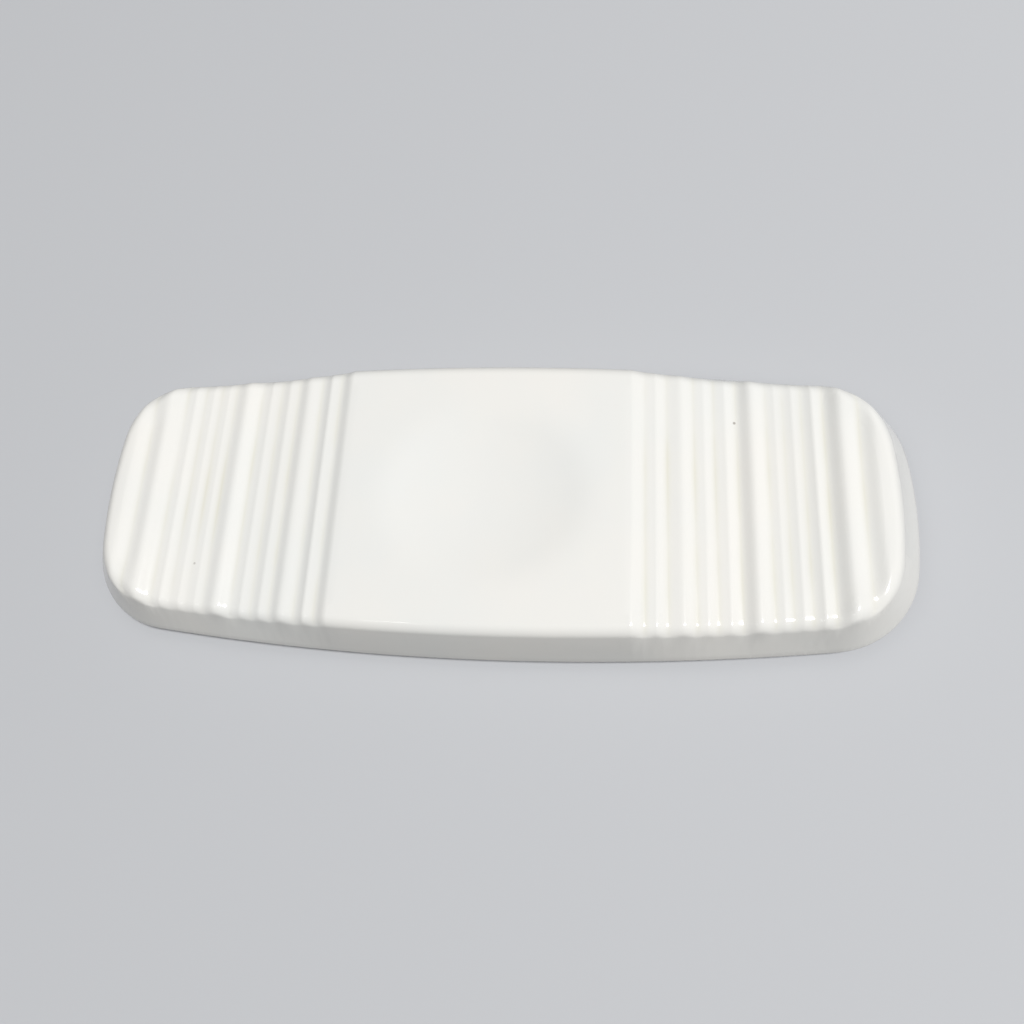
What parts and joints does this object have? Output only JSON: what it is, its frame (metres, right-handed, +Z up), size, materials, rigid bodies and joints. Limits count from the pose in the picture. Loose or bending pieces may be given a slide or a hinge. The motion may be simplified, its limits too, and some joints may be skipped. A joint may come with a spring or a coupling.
{
  "type": "chopstick rest",
  "caption": "Bowed white porcelain bar with a dished smooth middle and a ribbed saddle at each end to rest chopsticks on.",
  "frame": {"origin": "centre of the foot ring on the table", "axes": "+X along the bar, +Y across it away from the viewer, +Z up"},
  "size_m": [0.09, 0.0332, 0.0069],
  "materials": {
    "porcelain": "matte",
    "glaze": "gloss"
  },
  "bodies": {
    "root": {"porcelain_body": "porcelain", "outer_glaze": "glaze", "hollow_glaze": "glaze"}
  },
  "joints": []
}
